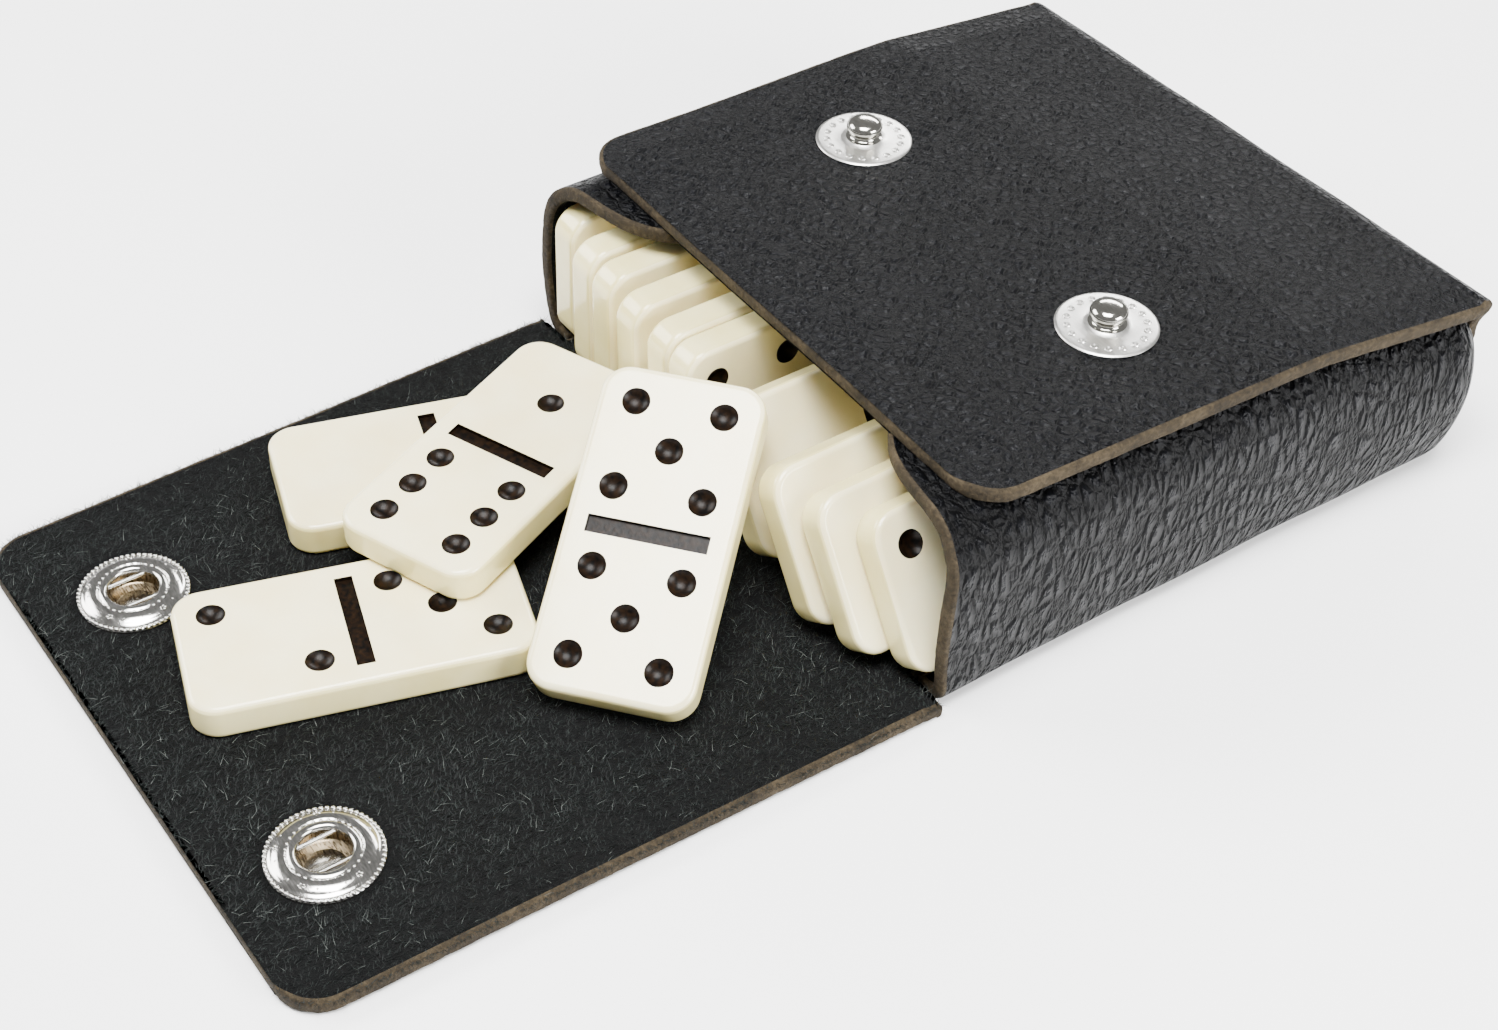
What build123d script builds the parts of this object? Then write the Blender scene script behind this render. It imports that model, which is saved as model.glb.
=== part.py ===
from build123d import *
import math
import os

os.makedirs("parts", exist_ok=True)

# A travel set of double-six dominoes in a one-piece folded leather case.
# Millimetres, +Z up. The origin is the middle of the case's underside, +Y points from the
# open mouth to the back of the case, and the closing flap lies open in front of the mouth.

# ---- driving dimensions: leather case ----
CASE_DEPTH = 102.0          # mouth line to the outside of the back fold
HALF_WIDTH = 49.6           # outside of a side wall
LEATHER = 2.2               # thickness of the hide
WALL_TOP = 30.4             # top of the side wings, under the top flap
FLAP_TOP = 32.6             # outside of the top flap
BACK_TOP = 29.4             # outside of the top flap where it meets the back fold
SLOPE_FROM = 66.0           # the top flap starts to fall towards the back here, from the mouth
LOWER_BEND = 3.8            # outside radius of the bend between base and walls
SHOULDER = 8.0              # outside radius of the rounded shoulder of a side wing
CORNER_PLAN = 5.0           # radius of the rear corners seen from above
BACK_BEND = 5.0             # outside radius of the two back folds
BASE_HALF = 44.0            # the flat base reaches this far from the middle
WING_INNER = 21.0           # the wings end this far from the middle
WING_BACK = 72.0            # the wings' flat tops end here, from the mouth
WALL_GAP = 0.05             # the walls stand this far outside the base's front tongue

# ---- driving dimensions: folding flap ----
FOLD_LINE = -1.75           # first fold, measured from the mouth
FRONT_HEIGHT = 32.4         # the front wall between its two folds
FLAP_END = -94.45           # free edge of the closing flap, from the mouth
HALF_AT_FOLD = 50.6
HALF_AT_SECOND = 49.8
HALF_AT_END = 47.4
FLAP_CORNER = 5.0

# ---- driving dimensions: snap fasteners ----
SNAP_X = 27.9
STUD_Y = 44.0               # from the mouth
ENGAGE = 0.45               # the socket closes this far behind the stud's centre
STUD_DISC_R = 7.4
STUD_DISC_T = 0.35
SHANK_R = 1.7
SOCKET_R = 7.7
SOCKET_HOLE_R = 3.47
SOCKET_PROUD = 1.6
CAP_R = 7.2
CAP_T = 0.35

# ---- driving dimensions: dominoes ----
TILE_L = 46.6
TILE_W = 23.2
TILE_T = 5.3
TILE_CORNER = 4.0
TILE_EDGE = 0.8
PIP_R = 1.98
PIP_DEPTH = 0.8
PIP_PITCH = 12.4
HALF_CENTRE = 11.95         # from the middle of the tile to the middle of a half
BAR_L = 17.0
BAR_W = 2.5
BAR_DEPTH = 0.6

MOUTH = -CASE_DEPTH / 2
BASE_BACK = CASE_DEPTH - BACK_BEND - 1.0    # the flat base ends here, from the mouth
SLOT_PITCH = 6.6            # back row of fourteen tiles
BACK_ROW_FRONT = 49.8       # front ends of the back row, from the mouth

# (x of the lowest edge, y of the front end from the mouth, lean in degrees, lift, pips)
FRONT_ROW = [
    (-46.6, -0.7, 0.0, 0.05, (0, 0)),
    (-37.8, -3.0, 0.5, 0.05, (0, 1)),
    (-31.2, -3.6, 1.0, 0.05, (0, 2)),
    (-22.7, -4.6, 2.0, 0.05, (1, 1)),
    (-14.2, -4.7, 3.0, 0.05, (1, 2)),
    (-7.8, -4.8, 5.0, 0.05, (4, 6)),
    (14.5, -6.5, 33.5, 0.45, (0, 4)),
    (29.0, -8.6, 33.5, 0.45, (0, 6)),
    (36.7, -6.9, 33.5, 0.25, (1, 3)),
    (43.2, -2.7, 33.5, 0.05, (2, 4)),
]
BACK_ROW = [(0, 5), (1, 4), (1, 5), (2, 2), (2, 5), (2, 6), (3, 3),
            (3, 4), (3, 5), (3, 6), (4, 4), (4, 5), (5, 6), (6, 6)]
# (x, y from the mouth, height of the face, turn, pitch of the long axis, pips)
LOOSE = [
    (-25.97, -33.36, LEATHER + TILE_T + 0.05, 72.8, 0.0, (0, 3)),
    (-1.8, -59.9, LEATHER + TILE_T + 0.05, 72.6, 0.0, (2, 3)),
    (-14.3, -29.55, LEATHER + 2 * TILE_T + 1.25, -68.0, 2.6, (1, 6)),
    (15.6, -24.6, 18.5, -49.8, 29.75, (5, 5)),
]
PIPS = {
    0: [],
    1: [(0, 0)],
    2: [(-1, 1), (1, -1)],
    3: [(-1, 1), (0, 0), (1, -1)],
    4: [(-1, -1), (-1, 1), (1, -1), (1, 1)],
    5: [(-1, -1), (-1, 1), (0, 0), (1, -1), (1, 1)],
    6: [(-1, -1), (0, -1), (1, -1), (-1, 1), (0, 1), (1, 1)],
}


def save(shape, name):
    """Write one node as a STEP file."""
    export_step(shape, f"parts/{name}.step")


def block(x0, x1, y0, y1, z0, z1):
    """A box between two corners, with y measured from the mouth."""
    middle = ((x0 + x1) / 2, (y0 + y1) / 2 + MOUTH, (z0 + z1) / 2)
    return Pos(*middle) * Box(x1 - x0, y1 - y0, z1 - z0)


def along_y(outline, y0, y1):
    """Extrude an outline drawn in X and Z along Y."""
    plane = Plane(origin=(0, y1 + MOUTH, 0), x_dir=(1, 0, 0), z_dir=(0, -1, 0))
    return extrude(plane * outline, y1 - y0)


def along_x(points, half, x_middle=0.0):
    """Extrude a closed outline of (y from the mouth, z) points along X."""
    corners = [(y + MOUTH, z) for y, z in points]
    plane = Plane(origin=(x_middle - half, 0, 0), x_dir=(0, 1, 0), z_dir=(1, 0, 0))
    return extrude(plane * make_face(Polyline(*corners, close=True)), 2 * half)


def along_z(outline, z0, z1):
    """Extrude an outline drawn in X and Y along Z."""
    return extrude(Pos(0, 0, z0) * outline, z1 - z0)


# ---------------------------------------------------------------- leather case
def rounded_section(half, low, high, lower_radius, upper_radius):
    """The case seen from the front: a rectangle with two pairs of rounded corners."""
    section = Pos(0, (low + high) / 2) * Rectangle(2 * half, high - low)
    vertices = section.vertices().sort_by(Axis.Y)
    section = fillet(vertices[:2], lower_radius)
    return fillet(section.vertices().sort_by(Axis.Y)[-2:], upper_radius)


def rounded_plan(half, back, radius):
    """The case seen from above, open far beyond the mouth, with rounded rear corners."""
    front = -40.0
    plan = Pos(0, (front + back) / 2 + MOUTH) * Rectangle(2 * half, back - front)
    return fillet(plan.vertices().sort_by(Axis.Y)[-2:], radius)


SHELL_BACK = CASE_DEPTH - LEATHER - 0.1


def shell():
    """Side walls, wings and rear tabs as one skin of even thickness."""
    outer = along_y(rounded_section(HALF_WIDTH, 0, WALL_TOP, LOWER_BEND, SHOULDER), -20, SHELL_BACK)
    outer &= along_z(rounded_plan(HALF_WIDTH, SHELL_BACK, CORNER_PLAN), -5, WALL_TOP + 5)
    half = HALF_WIDTH - LEATHER
    inside = SHELL_BACK - LEATHER
    section = rounded_section(
        half, LEATHER, WALL_TOP - LEATHER, LOWER_BEND - LEATHER, SHOULDER - LEATHER)
    inner = along_y(section, -25, inside)
    inner &= along_z(rounded_plan(half, inside, CORNER_PLAN - LEATHER), -5, WALL_TOP + 5)
    return outer - inner


def front_trim():
    """What the curved front edges of the walls and wings leave free."""
    side = [(-30, -1), (0.3, -1), (0.1, 4), (-0.9, 8), (-1.35, 14), (-1.35, 20), (-0.9, 25),
            (0.2, 28.5), (0.8, 40), (-30, 40)]
    return along_x(side, HALF_WIDTH + 1)


def wing_trim():
    """The wings' front edges run back under the top flap in a curve."""
    wing_front = 15.0
    reach = WING_INNER + 26.0
    arc = ThreePointArc((-reach, 0), (-WING_INNER - 11, 3.2), (-WING_INNER, wing_front))
    outline = arc + Polyline(
        (-WING_INNER, wing_front), (-WING_INNER, -30), (-reach, -30), (-reach, 0))
    left = Pos(0, MOUTH) * make_face(outline)
    trim = along_z(left, WALL_TOP - SHOULDER, WALL_TOP + 5)
    return trim + mirror(trim, Plane.YZ)


def above_flap():
    """Everything above the underside of the top flap, which falls towards the back."""
    under_front = FLAP_TOP - LEATHER
    under_back = BACK_TOP - LEATHER
    return along_x(
        [(-40, under_front), (SLOPE_FROM, under_front), (CASE_DEPTH + 10, under_back - 1.0),
         (CASE_DEPTH + 10, 60), (-40, 60)], HALF_WIDTH + 5)


def side_panels(strip):
    """Left and right side panel: lower bend, wall, shoulder, wing and rear tab."""
    walls = shell() - front_trim() - wing_trim() - above_flap()
    walls -= block(-BASE_HALF, BASE_HALF, -30, CASE_DEPTH, -1, LOWER_BEND + 1.5)
    walls -= block(-WING_INNER, WING_INNER, -30, CASE_DEPTH, 10, FLAP_TOP)
    walls -= block(-36, 36, 80, CASE_DEPTH, -1, FLAP_TOP)
    walls -= strip
    tile_room = HALF_WIDTH - LEATHER
    walls -= block(-tile_room, tile_room, WING_BACK, SHELL_BACK - LEATHER, 15, FLAP_TOP)
    for x in (-SNAP_X, SNAP_X):
        walls -= Pos(x, STUD_Y + MOUTH, WALL_TOP) * Cylinder(SHANK_R + 0.05, 12)
    left = (walls & block(-60, 0, -40, 120, -1, 60)).solids().sort_by(SortBy.VOLUME)[-1]
    right = (walls & block(0, 60, -40, 120, -1, 60)).solids().sort_by(SortBy.VOLUME)[-1]
    return left, right


def base_panel():
    """Flat floor of the case, with the full-width tongue that the first fold turns on."""
    floor = block(-BASE_HALF, BASE_HALF, -WALL_GAP, BASE_BACK, 0, LEATHER)
    tongue = block(-HALF_AT_FOLD, HALF_AT_FOLD, FOLD_LINE, -WALL_GAP, 0, LEATHER)
    return floor + tongue


def folded_strip(half):
    """Sweep the leather's section up the back and over the top, as one strip."""
    middle = LEATHER / 2
    back = CASE_DEPTH - middle
    fall = (FLAP_TOP - BACK_TOP) / (BASE_BACK - SLOPE_FROM)
    path = [(BASE_BACK, middle), (back, middle),
            (back, BACK_TOP - middle - fall * (back - BASE_BACK)),
            (SLOPE_FROM, FLAP_TOP - middle), (5.0, FLAP_TOP - middle)]
    radii = [BACK_BEND - middle, BACK_BEND - middle, 60.0]
    with BuildLine(Plane.YZ) as line:
        FilletPolyline(*[(y + MOUTH, z) for y, z in path], radius=radii)
    start = Plane(origin=(0, BASE_BACK + MOUTH, middle), x_dir=(1, 0, 0), z_dir=(0, 1, 0))
    return sweep(start * Rectangle(2 * half, LEATHER), path=line.wires()[0])


def back_panel(strip):
    """The back wall with both of its folds, narrower at the bottom where the blank is notched."""
    outline = Polyline((-43.8, -1), (-43.8, 7), (-49.3, 17), (-49.3, 40),
                       (49.3, 40), (49.3, 17), (43.8, 7), (43.8, -1), close=True)
    window = along_y(make_face(outline), BASE_BACK - 0.5, CASE_DEPTH + 5)
    return strip & window


def top_flap(strip):
    """The top flap, a little askew, with rounded front corners and two stud holes."""
    corner = 6.0
    front = 6.0
    back = BASE_BACK - 0.5
    outline = make_face(Polyline(
        (-49.6, front + MOUTH), (46.8, front - 0.6 + MOUTH), (51.2, back + MOUTH),
        (-50.4, back + MOUTH), close=True))
    outline = fillet(outline.vertices().sort_by(Axis.Y)[:2], corner)
    flap = strip & along_z(outline, 10, 60)
    for x in (-SNAP_X, SNAP_X):
        flap -= Pos(x, STUD_Y + MOUTH, FLAP_TOP) * Cylinder(SHANK_R + 0.05, 12)
    return flap


# ---------------------------------------------------------------- folding flap
SECOND_FOLD = FOLD_LINE - FRONT_HEIGHT
SOCKET_Y = SECOND_FOLD - (STUD_Y + ENGAGE - FOLD_LINE)


def front_wall():
    """The panel between the two folds, which stands up in front of the mouth."""
    outline = make_face(Polyline(
        (-HALF_AT_FOLD, FOLD_LINE + MOUTH), (HALF_AT_FOLD, FOLD_LINE + MOUTH),
        (HALF_AT_SECOND, SECOND_FOLD + MOUTH), (-HALF_AT_SECOND, SECOND_FOLD + MOUTH),
        close=True))
    return along_z(outline, 0, LEATHER)


def closing_flap():
    """The end of the strip, with rounded corners and two wells for the sockets."""
    outline = make_face(Polyline(
        (-HALF_AT_SECOND, SECOND_FOLD + MOUTH), (HALF_AT_SECOND, SECOND_FOLD + MOUTH),
        (HALF_AT_END, FLAP_END + MOUTH), (-HALF_AT_END, FLAP_END + MOUTH), close=True))
    outline = fillet(outline.vertices().sort_by(Axis.Y)[:2], FLAP_CORNER)
    flap = along_z(outline, 0, LEATHER)
    for x in (-SNAP_X, SNAP_X):
        centre = Pos(x, SOCKET_Y + MOUTH, 0)
        flap -= centre * Cylinder(CAP_R, 2 * CAP_T)
        flap -= centre * Cylinder(SOCKET_HOLE_R + 1.5, 4 * LEATHER)
    return flap


# ---------------------------------------------------------------- snap fasteners
def turned(points):
    """A turned part from (radius, height) points."""
    face = make_face(Polyline(*[(r, 0, z) for r, z in points], close=True))
    return revolve(face, Axis.Z)


def stud():
    """Upper half of the stud: disc, collar, neck and round head, bored for the rivet."""
    disc, collar, neck = STUD_DISC_T, 0.7, 2.15
    outline = [(SHANK_R + 0.03, 0), (STUD_DISC_R, 0), (STUD_DISC_R, disc * 0.6),
               (STUD_DISC_R - 0.4, disc), (2.9, disc), (2.85, collar), (2.5, collar),
               (neck, 1.05), (neck, 1.45), (2.55, 1.8), (2.75, 2.3), (2.7, 2.75),
               (2.35, 3.3), (1.6, 3.65), (0, 3.75), (0, 2.2), (SHANK_R + 0.03, 2.2)]
    return turned(outline)


def rivet():
    """Lower half of the stud: a flanged shank under the wing, clinched inside the head."""
    foot = WALL_TOP - LEATHER - FLAP_TOP
    outline = [(0, foot - 0.5), (4.8, foot - 0.5), (5.1, foot - 0.25), (5.0, foot),
               (SHANK_R, foot), (SHANK_R, 2.1), (0, 2.1)]
    return turned(outline)


def socket():
    """Domed ring around the hole, with the cup that takes the stud's head."""
    hole, cup = SOCKET_HOLE_R, SOCKET_HOLE_R + 0.9
    base = LEATHER
    top = LEATHER + SOCKET_PROUD
    outline = [(cup + 0.5, CAP_T), (cup + 0.5, base), (SOCKET_R, base), (SOCKET_R, base + 0.35),
               (SOCKET_R - 0.35, base + 0.75), (6.3, top - 0.25), (5.3, top), (4.4, top - 0.05),
               (hole + 0.15, top - 0.35), (hole, top - 0.6), (hole, top - 1.0), (cup, top - 1.2),
               (cup, CAP_T)]
    return turned(outline)


def socket_springs():
    """Two parallel spring wires that grip the neck of the stud."""
    offset, wire = 3.1, 0.25
    length = 5.4
    height = LEATHER + SOCKET_PROUD - 1.47
    rod = Rot(90, 0, 0) * Cylinder(wire, length)
    return Compound([Pos(x, 0, height) * rod for x in (-offset, offset)])


def cap():
    """Thin cover pressed flush into the grain side of the flap."""
    return Pos(0, 0, CAP_T / 2) * Cylinder(CAP_R - 0.05, CAP_T)


# ---------------------------------------------------------------- dominoes
def blank_tile():
    """A domino without marks: face up, centred on its own middle."""
    outline = RectangleRounded(TILE_L, TILE_W, TILE_CORNER)
    body = extrude(Pos(0, 0, -TILE_T / 2) * outline, TILE_T)
    rims = body.edges().filter_by(lambda e: abs(abs(e.center().Z) - TILE_T / 2) < 0.01)
    return fillet(rims, TILE_EDGE)


def marks(low, high):
    """Cutters for the bar and for the drilled pips of both halves."""
    ball = (PIP_R ** 2 + PIP_DEPTH ** 2) / (2 * PIP_DEPTH)
    height = TILE_T / 2 + ball - PIP_DEPTH
    bar = Pos(0, 0, TILE_T / 2) * Box(BAR_W, BAR_L, 2 * BAR_DEPTH)
    cutters = [bar]
    for count, side in ((low, -1), (high, 1)):
        for along, across in PIPS[count]:
            x = side * HALF_CENTRE + along * PIP_PITCH / 2
            y = across * PIP_PITCH / 2
            cutters.append(Pos(x, y, height) * Sphere(ball))
    return cutters


def domino(blank, pips):
    """One domino with its own two numbers."""
    tile = blank
    for cutter in marks(*pips):
        tile -= cutter
    return tile


def upright(x_low, y_front, lean, lift):
    """Place of a tile on its long edge, leaning to the left by the given angle."""
    a = math.radians(lean)
    face = (math.cos(a), 0, math.sin(a))
    up = (-math.sin(a), 0, math.cos(a))
    x = x_low + TILE_T / 2 * face[0] + TILE_W / 2 * up[0]
    z = LEATHER + lift + TILE_T / 2 * face[2] + TILE_W / 2 * up[2]
    origin = (x, y_front + TILE_L / 2 + MOUTH, z)
    return Plane(origin=origin, x_dir=(0, 1, 0), z_dir=face).location


def lying(x, y, z_face, turn, pitch):
    """Place of a loose tile on the open flap, from the middle of its face."""
    a, p = math.radians(turn), math.radians(pitch)
    long_axis = (math.cos(a) * math.cos(p), math.sin(a) * math.cos(p), -math.sin(p))
    normal = (math.cos(a) * math.sin(p), math.sin(a) * math.sin(p), math.cos(p))
    back = TILE_T / 2
    origin = (x - back * normal[0], y + MOUTH - back * normal[1], z_face - back * normal[2])
    return Plane(origin=origin, x_dir=long_axis, z_dir=normal).location


def tile_places():
    """Pips and place of each of the twenty-eight dominoes."""
    places = {}
    for x, y, lean, lift, pips in FRONT_ROW:
        places[pips] = upright(x, y, lean, lift)
    for index, pips in enumerate(BACK_ROW):
        x = (index - (len(BACK_ROW) - 1) / 2) * SLOT_PITCH - TILE_T / 2
        places[pips] = upright(x, BACK_ROW_FRONT, 0.0, 0.05)
    for x, y, z, turn, pitch, pips in LOOSE:
        places[pips] = lying(x, y, z, turn, pitch)
    return places


def main():
    strip = folded_strip(52.0)
    left, right = side_panels(strip)
    save(base_panel(), "base_panel")
    save(left, "left_side_panel")
    save(right, "right_side_panel")
    save(back_panel(strip), "back_panel")
    save(top_flap(strip), "top_flap")
    save(front_wall(), "front_wall")
    save(closing_flap(), "closing_flap")
    for side, x in (("left", -SNAP_X), ("right", SNAP_X)):
        on_top = Pos(x, STUD_Y + MOUTH, FLAP_TOP)
        save(on_top * stud(), f"{side}_stud")
        save(on_top * rivet(), f"{side}_rivet")
        on_flap = Pos(x, SOCKET_Y + MOUTH, 0)
        save(on_flap * socket(), f"{side}_socket")
        save(on_flap * socket_springs(), f"{side}_socket_springs")
        save(on_flap * cap(), f"{side}_cap")
    blank = blank_tile()
    for pips, place in tile_places().items():
        save(place * domino(blank, pips), f"tile_{pips[0]}_{pips[1]}")


main()
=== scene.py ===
# %% [markdown]
# # Travel domino set in a folding leather snap case
# One hide is folded into a small box: its floor runs out into a front wall and a closing flap,
# its sides turn over the top as wings, and its back folds over them as the top flap. Two press
# studs close it. Twenty-eight dominoes fill it, and four of them lie on the open flap.
#
# The imported CAD model is the frame. Every shown piece but the rivet feet and the socket
# covers is rebuilt here with finer shape and its own procedural material, in metres, at the
# place where the CAD has it.

# %% Load the frame
import math
import random
import bmesh
import bpy
from mathutils import Matrix, Vector, noise


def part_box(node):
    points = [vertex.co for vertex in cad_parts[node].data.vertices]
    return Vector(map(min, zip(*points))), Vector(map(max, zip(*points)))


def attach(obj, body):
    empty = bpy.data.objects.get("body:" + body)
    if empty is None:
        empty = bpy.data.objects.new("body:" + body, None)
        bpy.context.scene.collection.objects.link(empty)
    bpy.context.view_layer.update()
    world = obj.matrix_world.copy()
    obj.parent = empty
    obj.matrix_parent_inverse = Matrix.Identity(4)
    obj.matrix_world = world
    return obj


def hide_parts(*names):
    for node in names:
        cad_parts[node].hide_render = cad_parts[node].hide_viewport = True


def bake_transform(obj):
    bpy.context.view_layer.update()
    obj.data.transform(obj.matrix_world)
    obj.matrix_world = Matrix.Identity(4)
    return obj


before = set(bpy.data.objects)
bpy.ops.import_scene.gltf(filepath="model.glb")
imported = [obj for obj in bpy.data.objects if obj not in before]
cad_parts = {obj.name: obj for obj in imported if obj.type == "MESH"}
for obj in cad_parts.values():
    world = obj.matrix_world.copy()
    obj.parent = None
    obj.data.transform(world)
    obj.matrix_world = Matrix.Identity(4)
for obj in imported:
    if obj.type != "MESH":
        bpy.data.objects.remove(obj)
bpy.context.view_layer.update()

MM = 0.001
FOLD_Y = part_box("base_panel")[0][1]
MOUTH_Y = FOLD_Y + 1.75 * MM
LEATHER = 2.2
FLAP_END = -94.45
CASE_BACK = 102.0
TOP = 32.6
SNAP_X = 27.9
STUD_Y = 44.0
SOCKET_Y = -80.35

# %% [markdown]
# ## Small helpers
# The case was measured from its open mouth, so shapes are drawn in millimetres with Y counted
# from the mouth. `place` turns such a point into metres. Round parts come from spinning a
# profile, which is how turned and stamped parts are really symmetric, and small beads are low
# icospheres, because they are repeated a hundred times. `wobble` gives the slight unevenness of
# hand-cut leather; a noise field keeps it smooth from point to point.

# %% Helpers
def place(point):
    """Millimetres from the mouth to metres in the row frame."""
    return Vector((point[0] * MM, point[1] * MM + MOUTH_Y, point[2] * MM))


def new_object(name, bm, materials, smooth_angle=40.0):
    """Write a bmesh that is already in metres as an object at the origin."""
    mesh = bpy.data.meshes.new(name)
    bmesh.ops.recalc_face_normals(bm, faces=bm.faces)
    bm.to_mesh(mesh)
    bm.free()
    for material in materials:
        mesh.materials.append(material)
    mesh.shade_smooth()
    mesh.set_sharp_from_angle(angle=math.radians(smooth_angle))
    piece = bpy.data.objects.new(name, mesh)
    bpy.context.scene.collection.objects.link(piece)
    print(name, "has", len(mesh.polygons), "faces")
    return piece


def lathe(bm, profile, matrix, segments=72, material=0):
    """Spin a (radius, height) profile in millimetres round Z and move it into place."""
    before = set(bm.faces)
    points = [bm.verts.new((r * MM, 0, z * MM)) for r, z in profile]
    edges = [bm.edges.new(pair) for pair in zip(points, points[1:])]
    bmesh.ops.spin(bm, geom=points + edges, cent=(0, 0, 0), axis=(0, 0, 1),
                   angle=math.tau, steps=segments, use_merge=True)
    fresh = [face for face in bm.faces if face not in before]
    verts = list({vert for face in fresh for vert in face.verts})
    bmesh.ops.remove_doubles(bm, verts=verts, dist=1e-7)
    fresh = [face for face in bm.faces if face not in before]
    verts = list({vert for face in fresh for vert in face.verts})
    bmesh.ops.transform(bm, matrix=matrix, verts=verts)
    for face in fresh:
        face.material_index = material
    return fresh


def bead(bm, matrix, centre, radius, flatten=1.0, material=0):
    """A small round bead, flattened along Z."""
    shape = Matrix.Translation(Vector(centre) * MM) @ Matrix.Diagonal((1, 1, flatten, 1))
    made = bmesh.ops.create_icosphere(bm, subdivisions=2, radius=radius * MM, matrix=matrix @ shape)
    for face in {face for vert in made["verts"] for face in vert.link_faces}:
        face.material_index = material


def wobble(x, y, z, size, amount, seed=0.0):
    """Smooth unevenness of a hand-cut hide, in millimetres."""
    return noise.noise(Vector((x / size + seed, y / size - seed, z / size))) * amount


# %% [markdown]
# ## Materials
# Every finish is procedural and reads object coordinates, so it stays on the piece when it
# moves. An image would need a flat layout of each bent panel; noise and cells don't. The class
# below only shortens the writing of node trees: one method for each kind of node.

# %% Shader helper
class Shader:
    """Short way to build one node tree."""

    def __init__(self, name):
        self.material = bpy.data.materials.new(name)
        self.material.use_nodes = True
        self.tree = self.material.node_tree
        self.bsdf = self.tree.nodes["Principled BSDF"]
        self.coords = self.tree.nodes.new("ShaderNodeTexCoord").outputs["Object"]

    def node(self, kind, **settings):
        made = self.tree.nodes.new(kind)
        for key, value in settings.items():
            setattr(made, key, value)
        return made

    def link(self, source, target):
        self.tree.links.new(source, target)

    def stretch(self, scale):
        made = self.node("ShaderNodeMapping")
        made.inputs["Scale"].default_value = scale
        self.link(self.coords, made.inputs["Vector"])
        return made.outputs["Vector"]

    def noise(self, vector, scale, detail=3.0, rough=0.5):
        made = self.node("ShaderNodeTexNoise")
        self.link(vector, made.inputs["Vector"])
        made.inputs["Scale"].default_value = scale
        made.inputs["Detail"].default_value = detail
        made.inputs["Roughness"].default_value = rough
        return made

    def math(self, kind, a, b=0.0):
        made = self.node("ShaderNodeMath", operation=kind)
        for socket, value in zip(made.inputs, (a, b)):
            if isinstance(value, (int, float)):
                socket.default_value = value
            else:
                self.link(value, socket)
        return made.outputs[0]

    def spread(self, value, low, high, to_low=0.0, to_high=1.0):
        made = self.node("ShaderNodeMapRange", interpolation_type="SMOOTHSTEP")
        self.link(value, made.inputs["Value"])
        for key, number in zip(("From Min", "From Max", "To Min", "To Max"),
                               (low, high, to_low, to_high)):
            made.inputs[key].default_value = number
        return made.outputs["Result"]

    def warp(self, vector, scale, amount):
        wave = self.noise(vector, scale, 2.0)
        shift = self.node("ShaderNodeVectorMath", operation="SUBTRACT")
        self.link(wave.outputs["Color"], shift.inputs[0])
        shift.inputs[1].default_value = (0.5, 0.5, 0.5)
        sized = self.node("ShaderNodeVectorMath", operation="SCALE")
        self.link(shift.outputs[0], sized.inputs[0])
        sized.inputs["Scale"].default_value = amount
        added = self.node("ShaderNodeVectorMath", operation="ADD")
        self.link(vector, added.inputs[0])
        self.link(sized.outputs[0], added.inputs[1])
        return added.outputs[0]

    def cells(self, vector, scale, feature="DISTANCE_TO_EDGE"):
        made = self.node("ShaderNodeTexVoronoi", feature=feature)
        self.link(vector, made.inputs["Vector"])
        made.inputs["Scale"].default_value = scale
        return made

    def ramp(self, value, *stops):
        made = self.node("ShaderNodeValToRGB")
        self.link(value, made.inputs["Fac"])
        elements = made.color_ramp.elements
        elements[0].position, elements[0].color = stops[0][0], (*stops[0][1], 1)
        elements[1].position, elements[1].color = stops[-1][0], (*stops[-1][1], 1)
        for position, colour in stops[1:-1]:
            elements.new(position).color = (*colour, 1)
        return made.outputs["Color"]

    def bump(self, height, strength, distance, normal=None):
        made = self.node("ShaderNodeBump")
        self.link(height, made.inputs["Height"])
        made.inputs["Strength"].default_value = strength
        made.inputs["Distance"].default_value = distance
        if normal is not None:
            self.link(normal, made.inputs["Normal"])
        return made.outputs["Normal"]

    def set(self, **values):
        for key, value in values.items():
            self.bsdf.inputs[key.replace("_", " ")].default_value = value
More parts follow.
